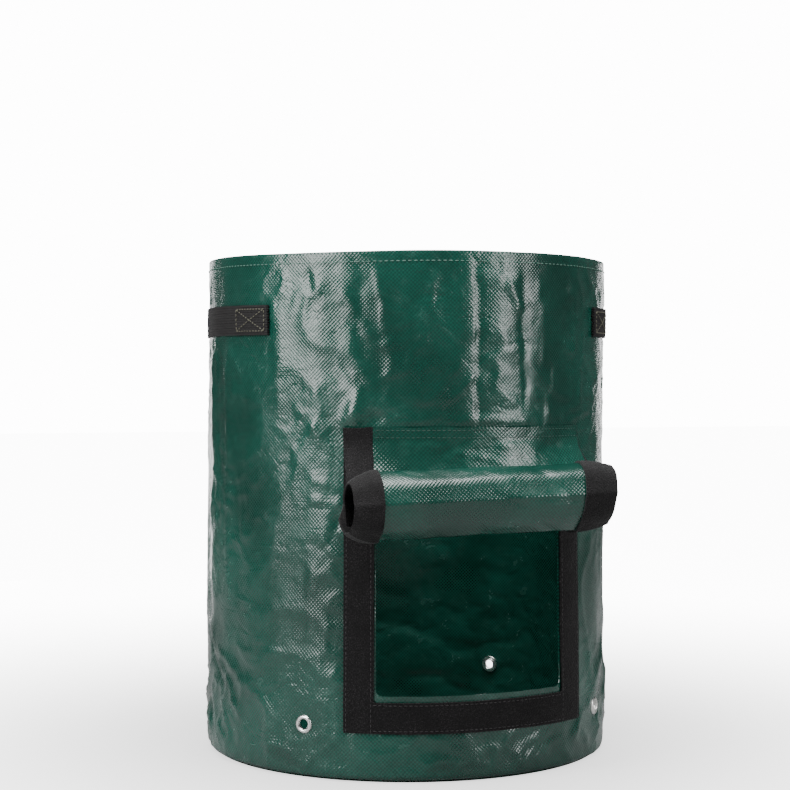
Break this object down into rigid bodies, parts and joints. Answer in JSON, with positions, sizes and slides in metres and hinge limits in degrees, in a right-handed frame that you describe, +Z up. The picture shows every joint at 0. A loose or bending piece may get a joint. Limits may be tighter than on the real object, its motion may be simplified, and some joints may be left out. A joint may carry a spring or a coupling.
{
  "type": "fabric grow bag",
  "caption": "Round planting bag of coated woven sheet with webbing handles, drain eyelets and a front harvest window under a roll-up flap closed by hook and loop tape.",
  "frame": {"origin": "centre of the base on the floor", "axes": "+Z up, the harvest window faces -Y, +X to the right of someone who faces the window"},
  "size_m": [0.3556, 0.4197, 0.426],
  "materials": {
    "coated_sheet": "glossy laminated woven sheet",
    "loop_tape": "napped black loop tape",
    "hook_tape": "black hook tape",
    "webbing": "black woven webbing",
    "eyelet_metal": "bright plated",
    "sewing_thread": "matte thread"
  },
  "bodies": {
    "bag": {"side_wall": "coated_sheet", "base_panel": "coated_sheet", "loop_tape_left": "loop_tape", "loop_tape_right": "loop_tape", "loop_tape_bottom": "loop_tape", "flap_top_hem": "coated_sheet", "flap_tape_heads": "hook_tape", "handle_left_sewn_ends": "webbing", "handle_right_sewn_ends": "webbing", "drain_eyelet_1": "eyelet_metal", "drain_eyelet_2": "eyelet_metal", "drain_eyelet_3": "eyelet_metal", "drain_eyelet_4": "eyelet_metal", "eyelet_washer_1": "eyelet_metal", "eyelet_washer_2": "eyelet_metal", "eyelet_washer_3": "eyelet_metal", "eyelet_washer_4": "eyelet_metal"},
    "flap_web": {"flap_web": "coated_sheet", "flap_web_tapes": "hook_tape"},
    "flap_strip_01": {"flap_strip_01": "coated_sheet", "flap_strip_tapes_01": "hook_tape"},
    "flap_strip_02": {"flap_strip_02": "coated_sheet", "flap_strip_tapes_02": "hook_tape"},
    "flap_strip_03": {"flap_strip_03": "coated_sheet", "flap_strip_tapes_03": "hook_tape"},
    "flap_strip_04": {"flap_strip_04": "coated_sheet", "flap_strip_tapes_04": "hook_tape"},
    "flap_strip_05": {"flap_strip_05": "coated_sheet", "flap_strip_tapes_05": "hook_tape"},
    "flap_strip_06": {"flap_strip_06": "coated_sheet", "flap_strip_tapes_06": "hook_tape"},
    "flap_strip_07": {"flap_strip_07": "coated_sheet", "flap_strip_tapes_07": "hook_tape"},
    "flap_strip_08": {"flap_strip_08": "coated_sheet", "flap_strip_tapes_08": "hook_tape"},
    "flap_strip_09": {"flap_strip_09": "coated_sheet", "flap_strip_tapes_09": "hook_tape"},
    "flap_strip_10": {"flap_strip_10": "coated_sheet", "flap_strip_tapes_10": "hook_tape", "flap_tape_bottom": "hook_tape"},
    "handle_left": {"handle_left_grip": "webbing"},
    "handle_right": {"handle_right_grip": "webbing"}
  },
  "joints": [
    {"name": "flap_lift", "type": "hinge", "parent": "bag", "child": "flap_web", "pos_m": [0, -0.1827, 0.273], "axis": [-1, 0, 0], "range_deg": [0, 105]},
    {"name": "flap_curl_01", "type": "hinge", "parent": "flap_web", "child": "flap_strip_01", "pos_m": [0, -0.1827, 0.224], "axis": [1, 0, 0], "range_deg": [0, 31.05]},
    {"name": "flap_curl_02", "type": "hinge", "parent": "flap_strip_01", "child": "flap_strip_02", "pos_m": [0, -0.19181, 0.20886], "axis": [1, 0, 0], "range_deg": [0, 32.05]},
    {"name": "flap_curl_03", "type": "hinge", "parent": "flap_strip_02", "child": "flap_strip_03", "pos_m": [0, -0.20757, 0.20087], "axis": [1, 0, 0], "range_deg": [0, 33.15]},
    {"name": "flap_curl_04", "type": "hinge", "parent": "flap_strip_03", "child": "flap_strip_04", "pos_m": [0, -0.22513, 0.2028], "axis": [1, 0, 0], "range_deg": [0, 34.37]},
    {"name": "flap_curl_05", "type": "hinge", "parent": "flap_strip_04", "child": "flap_strip_05", "pos_m": [0, -0.23854, 0.2143], "axis": [1, 0, 0], "range_deg": [0, 35.73]},
    {"name": "flap_curl_06", "type": "hinge", "parent": "flap_strip_05", "child": "flap_strip_06", "pos_m": [0, -0.24271, 0.23146], "axis": [1, 0, 0], "range_deg": [0, 37.28]},
    {"name": "flap_curl_07", "type": "hinge", "parent": "flap_strip_06", "child": "flap_strip_07", "pos_m": [0, -0.23563, 0.24765], "axis": [1, 0, 0], "range_deg": [0, 39.04]},
    {"name": "flap_curl_08", "type": "hinge", "parent": "flap_strip_07", "child": "flap_strip_08", "pos_m": [0, -0.21993, 0.25576], "axis": [1, 0, 0], "range_deg": [0, 41.07]},
    {"name": "flap_curl_09", "type": "hinge", "parent": "flap_strip_08", "child": "flap_strip_09", "pos_m": [0, -0.20277, 0.25157], "axis": [1, 0, 0], "range_deg": [0, 43.46]},
    {"name": "flap_curl_10", "type": "hinge", "parent": "flap_strip_09", "child": "flap_strip_10", "pos_m": [0, -0.1932, 0.23672], "axis": [1, 0, 0], "range_deg": [0, 46.33]},
    {"name": "handle_left_pull", "type": "slide", "parent": "bag", "child": "handle_left", "axis": [-0.7618, 0.0801, 0.6428], "range_m": [0, 0.018]},
    {"name": "handle_right_pull", "type": "slide", "parent": "bag", "child": "handle_right", "axis": [0.7618, -0.0801, 0.6428], "range_m": [0, 0.018]}
  ],
  "couplings": [
    {"joint": "flap_curl_02", "follows": "flap_curl_01", "ratio": 1.0321},
    {"joint": "flap_curl_03", "follows": "flap_curl_01", "ratio": 1.0675},
    {"joint": "flap_curl_04", "follows": "flap_curl_01", "ratio": 1.1068},
    {"joint": "flap_curl_05", "follows": "flap_curl_01", "ratio": 1.1508},
    {"joint": "flap_curl_06", "follows": "flap_curl_01", "ratio": 1.2004},
    {"joint": "flap_curl_07", "follows": "flap_curl_01", "ratio": 1.2571},
    {"joint": "flap_curl_08", "follows": "flap_curl_01", "ratio": 1.3227},
    {"joint": "flap_curl_09", "follows": "flap_curl_01", "ratio": 1.3997},
    {"joint": "flap_curl_10", "follows": "flap_curl_01", "ratio": 1.4919}
  ]
}
